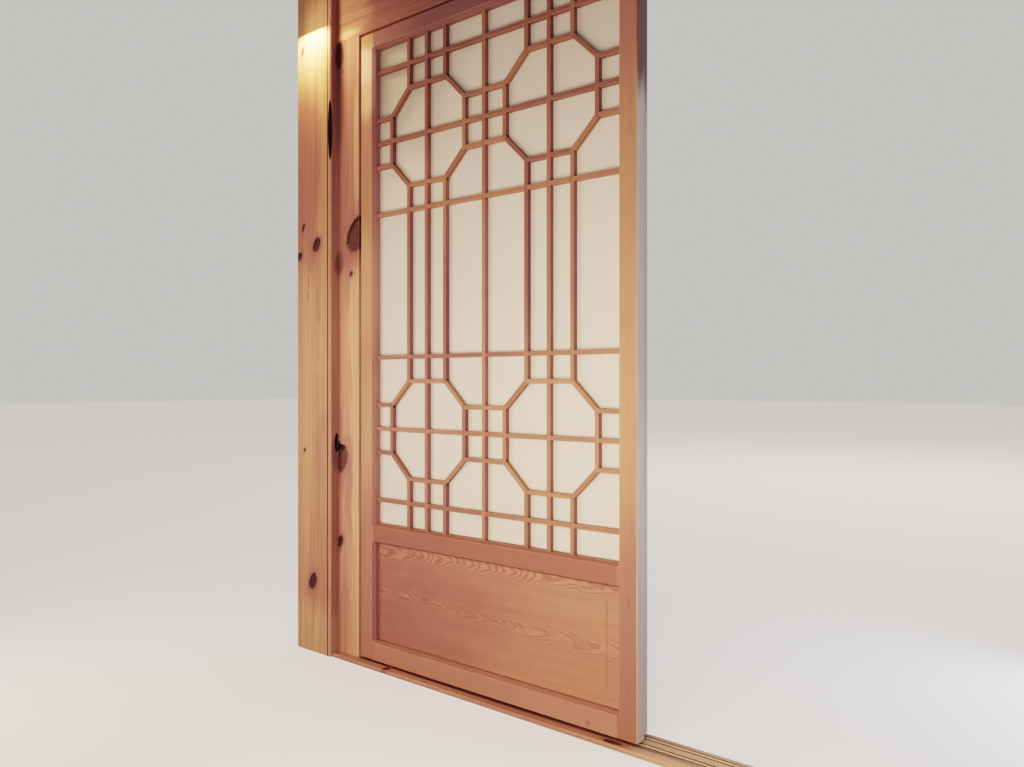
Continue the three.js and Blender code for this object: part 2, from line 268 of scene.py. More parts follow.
# %% The socket wrapper
class Wire:
    """An output socket of a finish, with the arithmetic that the finishes use."""

    def __init__(self, tree, socket):
        self.tree = tree
        self.socket = socket

    def node(self, kind, settings, values, output=0):
        """Adds a node: its settings first, then the numbers or wires of its sockets."""
        made = self.tree.nodes.new(kind)
        for key, value in settings.items():
            if key == "stops":
                ramp = made.color_ramp.elements
                while len(ramp) < len(value):
                    ramp.new(1.0)
                for element, (position, grey) in zip(ramp, value):
                    element.position = position
                    element.color = (grey, grey, grey, 1)
            else:
                setattr(made, key, value)
        feed(made, values)
        return Wire(self.tree, made.outputs[output])

    def maths(self, operation, *values):
        return self.node("ShaderNodeMath", {"operation": operation}, dict(enumerate(values)))

    def __add__(self, other):
        return self.maths("ADD", self, other)

    def __sub__(self, other):
        return self.maths("SUBTRACT", self, other)

    def __rsub__(self, other):
        return self.maths("SUBTRACT", other, self)

    def __mul__(self, other):
        return self.maths("MULTIPLY", self, other)

    def __truediv__(self, other):
        return self.maths("DIVIDE", self, other)

    def __abs__(self):
        return self.maths("ABSOLUTE", self)

    __radd__ = __add__
    __rmul__ = __mul__

    def vector(self, operation, *values):
        """Vector arithmetic with this wire first. A length or a dot product is one number."""
        output = "Value" if operation in ("LENGTH", "DOT_PRODUCT") else "Vector"
        sockets = {0: self, **{i + 1: value for i, value in enumerate(values)}}
        return self.node("ShaderNodeVectorMath", {"operation": operation}, sockets, output)

    def parts(self):
        """The three numbers of a vector."""
        made = self.tree.nodes.new("ShaderNodeSeparateXYZ")
        feed(made, {0: self})
        return [Wire(self.tree, socket) for socket in made.outputs]

    def rise(self, low, high):
        """0 below the low value, 1 above the high one, and smooth between."""
        settings = {"interpolation_type": "SMOOTHSTEP"}
        return self.node("ShaderNodeMapRange", settings, {0: self, 1: low, 2: high})

    def noise(self, density, detail=2.0, output=0):
        """Soft noise with so many lumps per metre along each axis."""
        sockets = {"Vector": self.vector("MULTIPLY", density), "Scale": 1.0, "Detail": detail}
        return self.node("ShaderNodeTexNoise", {}, sockets, output)

    def waver(self, density):
        """Soft noise along one number, with so many lumps for each 1 of it."""
        sockets = {"W": self * density, "Scale": 1.0}
        return self.node("ShaderNodeTexNoise", {"noise_dimensions": "1D"}, sockets)

    def repeat(self, stops):
        """Runs through the same greys between each two whole numbers."""
        return self.node("ShaderNodeValToRGB", {"stops": stops}, {0: self.maths("FRACT", self)})

    def reach(self, middle, half_sizes):
        """The distance from the middle of an ellipsoid, 1 at its surface."""
        return self.vector("SUBTRACT", middle).vector("DIVIDE", half_sizes).vector("LENGTH")

    def attribute(self, name, output="Fac"):
        """What the mesh carries under this name."""
        return self.node("ShaderNodeAttribute", {"attribute_name": name}, {}, output)

    def blend(self, first, second):
        """One colour where this wire is 0, another where it is 1."""
        return self.node("ShaderNodeMix", {"data_type": "RGBA"}, {0: self, 6: first, 7: second}, 2)

    def bump(self, strength, depth):
        """A bumped normal, with this wire as the height."""
        sockets = {"Strength": strength, "Distance": depth, "Height": self}
        return self.node("ShaderNodeBump", {}, sockets)


# %% [markdown]
# Numbers, colours and wires all go into sockets in the same way, so one function takes any of them.
# Each finish then starts as a new material with Blender's usual shader.

# %% Sockets and new finishes
def feed(node, values):
    """Puts numbers, colours or wires into a node's sockets."""
    for key, value in values.items():
        if isinstance(value, Wire):
            value.tree.links.new(value.socket, node.inputs[key])
        else:
            node.inputs[key].default_value = value


def new_finish(name):
    """A material with its shader, and a wire of where each point is, in metres."""
    material = bpy.data.materials.new(name)
    material.use_nodes = True
    tree = material.node_tree
    place = tree.nodes.new("ShaderNodeTexCoord")
    return material, tree.nodes["Principled BSDF"], Wire(tree, place.outputs["Object"])


# %% [markdown]
# ## How pine looks
# A pine board shows four things, from large to small. Broad patches lean to yellow or to red.
# Streaks a centimetre wide run with the grain. Growth rings cut the face as lines, pale on the
# early side and red-brown on the late side. And fine fibres make the surface shimmer.
#
# The rings are not painted as stripes. They are the distance from the tree's pith, which runs
# somewhere behind the board and wanders, so that the same rule draws straight lines on one face,
# wide arches on another and arcs on the cut ends.

# %% Rings, streaks and fibres
PITH_DRIFT = 50 * MM
RING_SHIVER = 3 * MM
RING_TAPER = 0.006
RING_UNEVEN = 9 * MM
RING_STOPS = [(0.0, 0.0), (0.35, 0.08), (0.75, 0.5), (0.92, 1.0), (1.0, 0.0)]


def wood_figure(grain, pith, ring_width):
    """Ring darkness, streaks, patches and fibres, each about 0 to 1."""
    half = (0.5, 0.5, 0.5)
    drift = grain.noise((5.0, 5.0, 0.8), 1.0, output=1).vector("SUBTRACT", half)
    bent = drift.vector("MULTIPLY_ADD", (PITH_DRIFT, PITH_DRIFT, 0.0), grain)
    shiver = grain.noise((60.0, 60.0, 6.0), 2.0, output=1).vector("SUBTRACT", half)
    bent = shiver.vector("MULTIPLY_ADD", (RING_SHIVER, RING_SHIVER, 0.0), bent)
    outward = bent.vector("SUBTRACT", pith).vector("MULTIPLY", (1.0, 1.0, 0.0))
    along = grain.parts()[2]
    radius = outward.vector("LENGTH") + along * RING_TAPER
    turn = (radius + radius.waver(55) * RING_UNEVEN) / ring_width
    rings = turn.repeat(RING_STOPS) * turn.waver(0.7).rise(0.25, 0.7)
    wide = bent.noise((42.0, 42.0, 1.3), 2.0).rise(0.32, 0.68)
    narrow = bent.noise((150.0, 150.0, 3.0), 2.0).rise(0.3, 0.7)
    streaks = wide * 0.55 + narrow * 0.45
    patches = bent.noise((8.0, 8.0, 1.4), 1.0).rise(0.35, 0.65)
    fibres = grain.noise((1400.0, 1400.0, 22.0), 2.0)
    return rings, streaks, patches, fibres


# %% [markdown]
# ## Knots
# A knot is the root of a branch, set in the trunk like a peg. The grain flows round it, its own
# rings are tight and dark, and the wood about it is redder. A random pattern would put them
# anywhere, but on these timbers the knots are landmarks, so each is listed: the middle of
# an ellipsoid in the bay's own frame, and its three half sizes. Depth into the wood is one of the
# three, so a knot on one face doesn't show through on the opposite one. Branches rise as they grow
# out, so all knots lean the same way, and bark caught above them leaves a black crescent.

# %% Knots as ellipsoids
BEND_REACH = 0.72
KNOT_LEAN = 0.3
UPPER_LEFT = (-0.8, 0.0, 0.5)
KNOT_RED = (0.185, 0.072, 0.066, 1)
KNOT_PURPLE = (0.092, 0.037, 0.048, 1)
KNOT_BLACK = (0.055, 0.020, 0.024, 1)
KNOT_RIM = (0.03, 0.011, 0.010, 1)
KNOT_HALO = (0.29, 0.125, 0.115, 1)


def nearest_knot(place, knots):
    """The way to the nearest knot, 1 long at its rim, its tone, and the push on the grain."""
    x, y, z = place.parts()
    leaning = place.node("ShaderNodeCombineXYZ", {}, {0: x - z * KNOT_LEAN, 1: y, 2: z})
    square, offset, tone = None, None, 0.0
    push = (0.0, 0.0, 0.0)
    for (right, deep, up), size, darkness in knots:
        away = leaning.vector("SUBTRACT", (right - up * KNOT_LEAN, deep, up))
        scaled = away.vector("DIVIDE", size)
        reach = scaled.vector("DOT_PRODUCT", scaled)
        swell = reach.maths("POWER", BEND_REACH, reach)
        push = away.vector("MULTIPLY", swell).vector("ADD", push)
        if square is None:
            square, offset, tone = reach, scaled, darkness
        else:
            nearer = reach.maths("LESS_THAN", reach, square)
            offset = nearer.blend(offset, scaled)
            tone = nearer * (darkness - tone) + tone
            square = reach.maths("MINIMUM", square, reach)
    return square.maths("SQRT", square), offset, tone, push


def knot_colour(board, distance, offset, tone, ragged):
    """Paints knots into the board: a red halo, a rim with a black crescent, rings in the core."""
    distance = distance + (ragged - 0.5) * 0.4
    tight_rings = (distance.maths("SINE", distance * 15.0) * 0.5 + 0.5) * (tone * 0.5 + 0.3)
    core = {0: tone, 6: KNOT_RED, 7: KNOT_BLACK}
    inside = distance.node("ShaderNodeMix", {"data_type": "RGBA"}, core, 2)
    inside = (tight_rings * 0.5).blend(inside, KNOT_RIM)
    turned = offset.vector("DOT_PRODUCT", UPPER_LEFT)
    crescent = turned.rise(0.05, 0.55)
    inside = (1 - turned.rise(-0.8, 0.1)).blend(inside, KNOT_PURPLE)
    board = ((1 - distance.rise(0.9, 2.4)) * 0.7).blend(board, KNOT_HALO)
    board = ((1 - distance.rise(0.95, 1.12)) * (0.15 + crescent * 0.85)).blend(board, KNOT_RIM)
    within = 1 - distance.rise(0.78 - crescent * 0.10, 1.06 - crescent * 0.24)
    return within.blend(board, inside)


# %% [markdown]
# Other landmarks are softer: red heartwood, pale sapwood, a purple stain by a knot. They are zones,
# ellipsoids as well, each with its own tint. Their edges are dragged out along the grain. Most
# knots and zones lie on a board's front face, so their middles are given as across and up alone,
# and a small function adds the depth of the face.

# %% Zones of another tint
def on_face(depth, rows):
    """Gives each row's middle, which is across and up, the depth of a face."""
    return [((across, depth, up), *rest) for (across, up), *rest in rows]


def tinted(board, place, grain, zones):
    """Lays each zone over the board: its middle, half sizes, strength and tint."""
    ragged = (grain.noise((45.0, 45.0, 2.5), 3.0) - 0.5) * 0.8
    for middle, half_sizes, strength, tint in zones:
        reach = place.reach(middle, half_sizes) + ragged
        board = ((1 - reach.rise(0.6, 1.15)) * strength).blend(board, tint)
    return board


# %% [markdown]
# ## The pine finish
# One function makes every pine finish: it takes the two colours that the board drifts between, the
# colour of its late wood, and its knots. The timber is varnished, so the gloss is satin, a little
# duller along the late wood, and a thin coat lies on top. The bump is slight: planed wood feels
# smooth, with the late wood standing a few hundredths of a millimetre proud. A carved hollow holds
# dirt and shade, so the finish takes the hollows' places as well and turns black inside them.

# %% Pine
WORN_WOOD = (0.53, 0.32, 0.215, 1)
RIGHT_SIDE_SHADE = (0.84, 0.80, 1.22)
HOLLOW_BLACK = (0.012, 0.006, 0.006, 1)
VARNISH = {"Coat Weight": 0.08, "Coat Roughness": 0.3, "Specular IOR Level": 0.3}


def pine(name, wood, knots=(), zones=(), along="Z", pith=(0.03, 0.12, 0.0), ring_width=3.4 * MM,
         liveliness=1.0, hollows=()):
    """A varnished pine finish from its yellow, red and late-wood colours."""
    yellow, red, late = wood
    material, shader, place = new_finish(name)
    grain = place.attribute("grain", "Vector")
    if knots:
        distance, offset, tone, push = nearest_knot(place, knots)
        grain = turned_to_grain(push, along).vector("MULTIPLY_ADD", (-0.75, -0.75, 0.0), grain)
    rings, streaks, patches, fibres = wood_figure(grain, pith, ring_width)
    colour = patches.blend(yellow, red)
    if zones:
        colour = tinted(colour, place, grain, zones)
    colour = (streaks * (0.5 * liveliness)).blend(colour, late)
    colour = (rings * (0.2 + 0.2 * liveliness)).blend(colour, late)
    colour = colour.vector("MULTIPLY", 0.93 + fibres * 0.14)
    if knots:
        ragged = place.noise((160.0, 160.0, 160.0), 2.0)
        colour = knot_colour(colour, distance, offset, tone, ragged)
    rubbed = place.noise((30.0, 30.0, 30.0), 2.0).rise(0.3, 0.6)
    colour = (place.attribute("worn") * (0.15 + rubbed * 0.3)).blend(colour, WORN_WOOD)
    # Faces turned to the right are darkened and cooled here: painted shade.
    colour = place.attribute("smoked").blend(colour, colour.vector("MULTIPLY", RIGHT_SIDE_SHADE))
    for middle, half_sizes in hollows:
        inside = 1 - place.reach(middle, half_sizes).rise(1.0, 1.12)
        colour = inside.blend(colour, HOLLOW_BLACK)
    height = fibres * 0.5 + rings * 0.5
    feed(shader, {
        "Base Color": colour,
        "Roughness": 0.46 + rings * 0.10 + streaks * 0.06,
        "Normal": height.bump(0.25, 0.3 * MM),
        **VARNISH,
    })
    return material


def turned_to_grain(vector, along):
    """Puts the part that runs along the grain last."""
    if along == "Z":
        return vector
    x, y, z = vector.parts()
    return x.node("ShaderNodeCombineXYZ", {}, {0: y, 1: z, 2: x})


# %% [markdown]
# ## The columns
# Each column is a square pine trunk, planed and chamfered. It starts as a cube of its full size:
# its four long edges are beveled flat by hand, and a second, much smaller bevel takes the
# sharpness off all the rest.

# %% Model the columns
COLUMN_CHAMFER = 4 * MM
COLUMN_EASE = 1.0 * MM
WIDEST_WORN = 6.5 * MM


def column(node, name):
    """A post of the solid's size, with its four long edges chamfered and the rest eased."""
    low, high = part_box(node)
    piece = block(name, low, high)
    pick_edges(piece, lambda a, b: abs(a.z - b.z) > (high.z - low.z) / 2)
    bpy.ops.mesh.bevel(offset=COLUMN_CHAMFER, segments=1)
    bpy.ops.object.mode_set(mode="OBJECT")
    ease(piece, COLUMN_EASE)
    return piece


left_column = column("left_column", "left_column_timber")
right_column = column("right_column", "right_column_timber")
for piece in (left_column, right_column):
    print(piece.name, "worn faces:", mark_wear(piece, WIDEST_WORN))
    mark_right_shade(piece)

# %% [markdown]
# Three flaws of the real timber are carved: a long hollow on the right arris where the wood dried
# and split away, a knot hole beside the jamb, and a fine drying crack down the whole face. A
# hollow's cutter is a sphere drawn out to a spindle, because such flaws run to nothing at their
# ends. The crack's cutter is a thin block with its long edges subdivided and shaken a little,
# because a crack follows the grain.

# %% Carve the flaws
CRACK_X = 0.067
CRACK_WIDTH = 2.6 * MM
CRACK_DEPTH = 3.0 * MM
CRACK_WANDER = 0.35 * MM
CRACK_KINKS = 30
# The middle and half sizes of each hollow, in metres
SPLIT_ARRIS = ((0.0780, -0.0815, 1.575), (0.0085, 0.0085, 0.088))
KNOT_HOLE = ((0.0820, -0.0555, 0.639), (0.0065, 0.0080, 0.028))


def spindle(middle, half_sizes):
    """A sphere drawn out along its axes, as a cutter."""
    bpy.ops.mesh.primitive_uv_sphere_add(
        segments=24, ring_count=16, radius=1, location=middle, scale=half_sizes)
    cutter = bpy.context.object
    settle(cutter)
    return cutter


def drying_crack(x, front_y, top_z):
    """A long thin cutter that wanders a little, as a crack follows the grain."""
    cutter = block(
        "crack_cutter",
        (x - CRACK_WIDTH / 2, front_y - MM, -MM),
        (x + CRACK_WIDTH / 2, front_y + CRACK_DEPTH, top_z + MM),
    )
    pick_edges(cutter, lambda a, b: abs(a.z - b.z) > top_z / 2)
    bpy.ops.mesh.subdivide(number_cuts=CRACK_KINKS)
    bpy.ops.mesh.select_all(action="SELECT")
    bpy.ops.transform.vertex_random(offset=CRACK_WANDER, seed=4)
    bpy.ops.object.mode_set(mode="OBJECT")
    return cutter


for middle, half_sizes in (SPLIT_ARRIS, KNOT_HOLE):
    carve(left_column, spindle(middle, half_sizes))
(COLUMN_LEFT, COLUMN_FRONT, _), (COLUMN_RIGHT, COLUMN_BACK, COLUMN_TOP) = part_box("left_column")
carve(left_column, drying_crack(CRACK_X, COLUMN_FRONT, COLUMN_TOP))
lay_grain(left_column, "Z", (0.0, 0.0, 0.0))
lay_grain(right_column, "Z", (0.31, 0.17, 4.0))
print("faces:", len(left_column.data.polygons), "and", len(right_column.data.polygons))

# %% [markdown]
# The left column's knots are the ones that show: an oval one at chest height with smaller ones
# about it, and another low on the face. The right column gets a few of its own. The zones are red
# heartwood, a darker red high up, a paler foot, painted shade in the corner on the side that faces
# the jamb, and painted shade along the cracks.

# %% Finish the columns
COLUMN_WOOD = ((0.565, 0.33, 0.18, 1), (0.44, 0.24, 0.158, 1), (0.255, 0.11, 0.075, 1))
HEARTWOOD = (0.39, 0.18, 0.155, 1)
CORNER_SHADE = (0.17, 0.075, 0.085, 1)
CRACK_SHADE = (0.05, 0.02, 0.018, 1)
DUST_AND_SHADE = (0.045, 0.020, 0.022, 1)
far_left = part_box("right_column")[0].x
far_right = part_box("right_column")[1].x

LEFT_COLUMN_KNOTS = on_face(COLUMN_FRONT, [
    ((0.0165, 1.2365), (0.0175, 0.05, 0.0225), 0.9),
    ((-0.0485, 1.295), (0.0055, 0.04, 0.0140), 1.0),
    ((-0.066, 1.2085), (0.0120, 0.03, 0.0140), 1.0),
    ((-0.0416, 0.6115), (0.0048, 0.03, 0.0060), 1.0),
    ((-0.0007, 0.214), (0.0180, 0.05, 0.0265), 0.9),
    ((-0.052, 1.838), (0.0050, 0.02, 0.0130), 1.0),
])
LEFT_COLUMN_KNOTS += [
    ((0.020, COLUMN_BACK, 0.86), (0.013, 0.05, 0.019), 0.6),
    ((COLUMN_LEFT, 0.025, 1.52), (0.05, 0.010, 0.015), 0.6),
]
LEFT_COLUMN_ZONES = on_face(COLUMN_FRONT, [
    ((-0.035, 1.45), (0.080, 0.10, 0.32), 0.9, (0.36, 0.16, 0.14, 1)),
    ((-0.010, 1.22), (0.045, 0.05, 0.075), 0.55, HEARTWOOD),
    ((0.040, 0.60), (0.040, 0.05, 0.11), 0.45, HEARTWOOD),
    ((0.055, 0.70), (0.030, 0.03, 0.035), 0.5, HEARTWOOD),
    ((0.000, 0.02), (0.20, 0.05, 0.14), 0.6, (0.68, 0.42, 0.24, 1)),
    # Painted shade in two small cracks and along the drying crack.
    ((-0.0240, 1.130), (0.0018, 0.01, 0.024), 0.7, CRACK_SHADE),
    ((-0.0280, 1.085), (0.0018, 0.01, 0.022), 0.7, CRACK_SHADE),
    ((CRACK_X, 1.05), (0.0025, 0.012, 4.0), 1.0, CRACK_SHADE),
])
LEFT_COLUMN_ZONES += [
    # On the side that faces the jamb: painted shade in the corner, and at the head painted shade
    # with dust.
    ((0.085, -0.040, 1.80), (0.008, 0.06, 0.42), 0.6, CORNER_SHADE),
    ((COLUMN_RIGHT, -0.048, 1.173), (0.02, 0.022, 0.044), 0.75, CORNER_SHADE),
    ((COLUMN_RIGHT, -0.044, 1.800), (0.02, 0.022, 0.045), 1.0, DUST_AND_SHADE),
    ((COLUMN_RIGHT, -0.052, 0.61), (0.02, 0.025, 0.055), 0.6, CORNER_SHADE),
]
RIGHT_COLUMN_KNOTS = on_face(COLUMN_FRONT, [
    ((2.120, 1.46), (0.012, 0.05, 0.019), 0.7),
    ((2.178, 0.74), (0.008, 0.05, 0.013), 0.9),
])
RIGHT_COLUMN_KNOTS += [
    ((far_left, 0.020, 1.05), (0.05, 0.011, 0.016), 0.6),
    ((2.150, COLUMN_BACK, 1.22), (0.011, 0.05, 0.017), 0.6),
    ((far_right, -0.030, 0.43), (0.05, 0.012, 0.018), 0.8),
]
RIGHT_COLUMN_ZONES = on_face(COLUMN_FRONT, [
    ((2.16, 0.50), (0.07, 0.10, 0.40), 0.8, HEARTWOOD),
    ((2.10, 1.50), (0.04, 0.10, 0.30), 0.6, HEARTWOOD),
])
left_pine = pine("left_column_pine", COLUMN_WOOD, LEFT_COLUMN_KNOTS, LEFT_COLUMN_ZONES,
                 pith=(0.02, 0.03, 0.0), hollows=(SPLIT_ARRIS, KNOT_HOLE))
right_pine = pine("right_column_pine", COLUMN_WOOD, RIGHT_COLUMN_KNOTS, RIGHT_COLUMN_ZONES,
                  pith=(2.44, 0.20, 0.0))
dress(left_column, "frame", "column_pine", left_pine, "left_column")
dress(right_column, "frame", "column_pine", right_pine, "right_column")
print("knots:", len(LEFT_COLUMN_KNOTS), "and", len(RIGHT_COLUMN_KNOTS))

# %% [markdown]
# ## Jambs, lintel and sill
# These boards have rebates and grooves that the solids already hold, so each is taken from its
# solid and eased. The jambs and the lintel are flush in front. The sill also has a narrow groove on
# both sides of each track. They show as dark lines, so they are cut with long blocks.

# %% Model the fixed boards
BOARD_EASE = 1.0 * MM
BOARD_WORN = 1.3 * MM
GROOVE_WIDTH = 4.5 * MM
GROOVE_DEPTH = 4.0 * MM
BOARD_GRAIN = {
    "left_jamb": ("Z", (0.6, 0.3, 1.7)),
    "right_jamb": ("Z", (0.2, 0.8, 3.1)),
    "lintel": ("X", (0.5, 0.2, 5.3)),
    "sill": ("X", (0.9, 0.1, 7.9)),
}
SILL_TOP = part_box("sill")[1].z
groove_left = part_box("left_jamb")[1].x
groove_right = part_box("right_jamb")[0].x
grooves = []
for track in ("front_track", "back_track"):
    low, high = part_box(track)
    grooves += [(low.y - GROOVE_WIDTH, low.y), (high.y, high.y + GROOVE_WIDTH)]

boards = {}
for node, (along, shift) in BOARD_GRAIN.items():
    board = timber_from(node, node + "_board")
    ease(board, BOARD_EASE)
    if node == "sill":
        for near, far in grooves:
            low = (groove_left, near, SILL_TOP - GROOVE_DEPTH)
            carve(board, block("groove_cutter", low, (groove_right, far, SILL_TOP + MM)))
    lay_grain(board, along, shift)
    mark_right_shade(board)
    worn = mark_wear(board, BOARD_WORN)
    boards[node] = board
    print(board.name, "faces:", len(board.data.polygons), "worn:", worn)

# %% [markdown]
# The left jamb is the liveliest board of the bay: red heartwood at the left, pale sapwood down the
# right side, a large knot cut by its right edge, and a loose one low at its left, under a black
# hook where the wood is hollow. The hook is not carved but painted black in two ellipsoids that
# meet, as painted shade. The right jamb is a calmer board.

# %% Finish the jambs
FRAME_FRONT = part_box("left_jamb")[0].y
JAMB_WOOD = ((0.65, 0.385, 0.22, 1), (0.55, 0.30, 0.20, 1), (0.28, 0.12, 0.085, 1))
SAPWOOD = (0.76, 0.49, 0.25, 1)
# Painted shade: a black hook that stands for a hollow which is not carved.
PAINTED_HOOK_SHADE = on_face(FRAME_FRONT, [
    ((0.097, 0.6265), (0.0165, 0.02, 0.0075)),
    ((0.084, 0.6260), (0.0060, 0.02, 0.0170)),
])
LEFT_JAMB_KNOTS = on_face(FRAME_FRONT, [
    ((0.166, 1.256), (0.043, 0.05, 0.054), 0.5),
    ((0.139, 1.142), (0.0062, 0.03, 0.0082), 1.0),
    ((0.099, 0.587), (0.0225, 0.03, 0.040), 0.5),
    ((0.0900, 0.342), (0.0125, 0.02, 0.019), 0.8),
    ((0.100, 1.752), (0.0030, 0.02, 0.007), 0.3),
])
LEFT_JAMB_ZONES = on_face(FRAME_FRONT, [
    ((0.110, 1.56), (0.080, 0.06, 0.51), 0.9, (0.37, 0.175, 0.155, 1)),
    ((0.145, 1.21), (0.040, 0.05, 0.090), 0.8, (0.40, 0.18, 0.155, 1)),
    ((0.162, 1.50), (0.012, 0.05, 0.20), 0.65, SAPWOOD),
    # Painted shade down the left edge near the head, where the jamb meets the column.
    ((0.086, 1.69), (0.024, 0.04, 0.20), 0.9, (0.19, 0.085, 0.095, 1)),
    ((0.160, 0.86), (0.036, 0.05, 0.34), 0.85, SAPWOOD),
    ((0.166, 0.25), (0.022, 0.05, 0.40), 0.8, SAPWOOD),
    ((0.112, 0.545), (0.034, 0.05, 0.085), 0.75, HEARTWOOD),
    ((0.090, 0.69), (0.014, 0.03, 0.06), 0.5, HEARTWOOD),
    ((0.110, 0.14), (0.010, 0.05, 0.30), 0.55, HEARTWOOD),
    # This zone and the one two rows down: painted shade in the corner by the column, with dust at
    # the head.
    ((0.088, 1.178), (0.022, 0.03, 0.046), 0.9, CORNER_SHADE),
    ((0.105, 0.530), (0.028, 0.05, 0.040), 0.6, (0.50, 0.24, 0.20, 1)),
    ((0.086, 1.806), (0.026, 0.03, 0.052), 1.0, DUST_AND_SHADE),
])
RIGHT_JAMB_KNOTS = on_face(FRAME_FRONT, [
    ((2.015, 1.36), (0.014, 0.04, 0.022), 0.5),
    ((1.985, 0.52), (0.008, 0.04, 0.012), 0.9),
])
RIGHT_JAMB_ZONES = on_face(FRAME_FRONT, [
    ((1.99, 1.20), (0.035, 0.05, 0.45), 0.8, HEARTWOOD),
    ((2.04, 0.50), (0.025, 0.05, 0.50), 0.7, SAPWOOD),
])
left_jamb_pine = pine("left_jamb_pine", JAMB_WOOD, LEFT_JAMB_KNOTS, LEFT_JAMB_ZONES,
                      pith=(0.72, 0.36, 0.0), hollows=PAINTED_HOOK_SHADE)
right_jamb_pine = pine("right_jamb_pine", JAMB_WOOD, RIGHT_JAMB_KNOTS, RIGHT_JAMB_ZONES,
                       pith=(2.10, 0.90, 0.0))
dress(boards["left_jamb"], "frame", "frame_pine", left_jamb_pine, "left_jamb")
dress(boards["right_jamb"], "frame", "frame_pine", right_jamb_pine, "right_jamb")
print("jamb knots:", len(LEFT_JAMB_KNOTS), "and", len(RIGHT_JAMB_KNOTS))

# %% [markdown]
# The lintel and the sill lie level, so their grain runs sideways. The lintel is old red heartwood,
# with its left end painted golden and a bright line along its lower edge there, as painted lamp
# light. The sill is painted golden toward the right, as painted daylight from the doorway. Its
# grooves and the strip under the front leaf are painted dark with dust and painted shade.

# %% Finish the lintel and the sill
LINTEL_WOOD = ((0.38, 0.175, 0.145, 1), (0.31, 0.13, 0.12, 1), (0.20, 0.075, 0.065, 1))
LINTEL_KNOTS = on_face(FRAME_FRONT, [
    ((0.62, 1.95), (0.022, 0.04, 0.016), 0.6),
    ((1.48, 1.90), (0.017, 0.04, 0.013), 0.8),
])
LINTEL_ZONES = on_face(FRAME_FRONT, [
    # Painted lamp light: the golden left end, and a bright line along the lower edge there.
    ((0.110, 1.95), (0.130, 0.05, 0.15), 0.85, (0.74, 0.38, 0.22, 1)),
    ((0.120, 1.856), (0.070, 0.03, 0.012), 0.75, (0.90, 0.62, 0.33, 1)),
    ((0.900, 1.90), (0.55, 0.05, 0.20), 0.6, (0.22, 0.10, 0.10, 1)),
])
SILL_WOOD = ((0.46, 0.25, 0.18, 1), (0.38, 0.19, 0.15, 1), (0.22, 0.095, 0.08, 1))
DAYLIT_GOLD = (0.66, 0.44, 0.23, 1)
SILL_KNOTS = [
    ((0.302, -0.062, 0.008), (0.0090, 0.0130, 0.02), 0.95),
    ((0.459, -0.063, SILL_TOP), (0.004, 0.003, 0.02), 0.7),
    ((1.040, -0.060, SILL_TOP), (0.024, 0.008, 0.02), 0.9),
]
SILL_ZONES = [
    # Painted daylight, golden toward the right, then dust and painted shade under the front leaf.
    ((1.75, -0.030, SILL_TOP), (0.75, 0.20, 0.05), 0.9, DAYLIT_GOLD),
    ((0.64, -0.041, SILL_TOP), (0.68, 0.0125, 0.01), 0.95, DUST_AND_SHADE),
]
# Dust and painted shade inside each groove.
for near, far in grooves:
    inside = (1.0, (near + far) / 2, SILL_TOP - GROOVE_DEPTH / 2)
    SILL_ZONES.append((inside, (5.0, GROOVE_WIDTH, GROOVE_DEPTH / 2), 1.0, DUST_AND_SHADE))

lintel_pine = pine("lintel_pine", LINTEL_WOOD, LINTEL_KNOTS, LINTEL_ZONES, "X", (0.56, 2.30, 0.0))
sill_pine = pine("sill_pine", SILL_WOOD, SILL_KNOTS, SILL_ZONES, "X", (0.86, -0.1, 0.0))
dress(boards["lintel"], "frame", "lintel_pine", lintel_pine, "lintel")
dress(boards["sill"], "frame", "frame_pine", sill_pine, "sill")
print("grooves in the sill:", len(grooves))

# %% [markdown]
# ## Tracks
# Two strips of pale hardwood lie in the sill, and the leaves' rollers run on them. Their shape is
# right as it is, so the solids stay and only get a finish: short fine grain, polished bright along
# the middle where the rollers pass, and dark at the sides with dust and painted shade.

# %% Finish the tracks
TRACK_PALE = (0.62, 0.42, 0.22, 1)
TRACK_BROWN = (0.47, 0.28, 0.135, 1)
TRACK_PORES = (0.28, 0.15, 0.07, 1)
TRACK_POLISH = (0.66, 0.47, 0.27, 1)


def track_finish(name, middle_y, top):
    """Pale hardwood, polished along its middle and dark below its top, with dust and painted shade.
    """
    material, shader, place = new_finish(name)
    grain = turned_to_grain(place, "X")
    streaks = grain.noise((700.0, 700.0, 9.0), 3.0)
    pores = grain.noise((2600.0, 2600.0, 160.0), 1.0).rise(0.62, 0.72)
    colour = streaks.rise(0.3, 0.7).blend(TRACK_PALE, TRACK_BROWN)
    colour = (pores * 0.2).blend(colour, TRACK_PORES)
    _, y, z = place.parts()
    polish = 1 - abs(y - middle_y).rise(1.5 * MM, 3.0 * MM)
    colour = (polish * 0.2).blend(colour, TRACK_POLISH)
    # Dark below the top edge, beside the groove: dust and painted shade.
    clear_of_dust_and_shade = z.rise(top - 1.2 * MM, top - 0.4 * MM)
    feed(shader, {
        "Base Color": clear_of_dust_and_shade.blend(DUST_AND_SHADE, colour),
        "Roughness": 0.42 - polish * 0.2,
        "Normal": streaks.bump(0.2, 0.2 * MM),
    })
    return material


for node in ("front_track", "back_track"):
    low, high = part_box(node)
    paint(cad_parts[node], track_finish(node + "_wood", (low.y + high.y) / 2, high.z))
    print(node, "width:", round((high.y - low.y) / MM, 1), "mm")

# %% [markdown]
# ## Leaf frames
# A leaf is joined as any framed door: the stiles run from foot to head, and the rails stand
# between them on tenons. The solids already have the chamfer round both openings, mitred in the
# corners, so the boards only need their arrises eased.

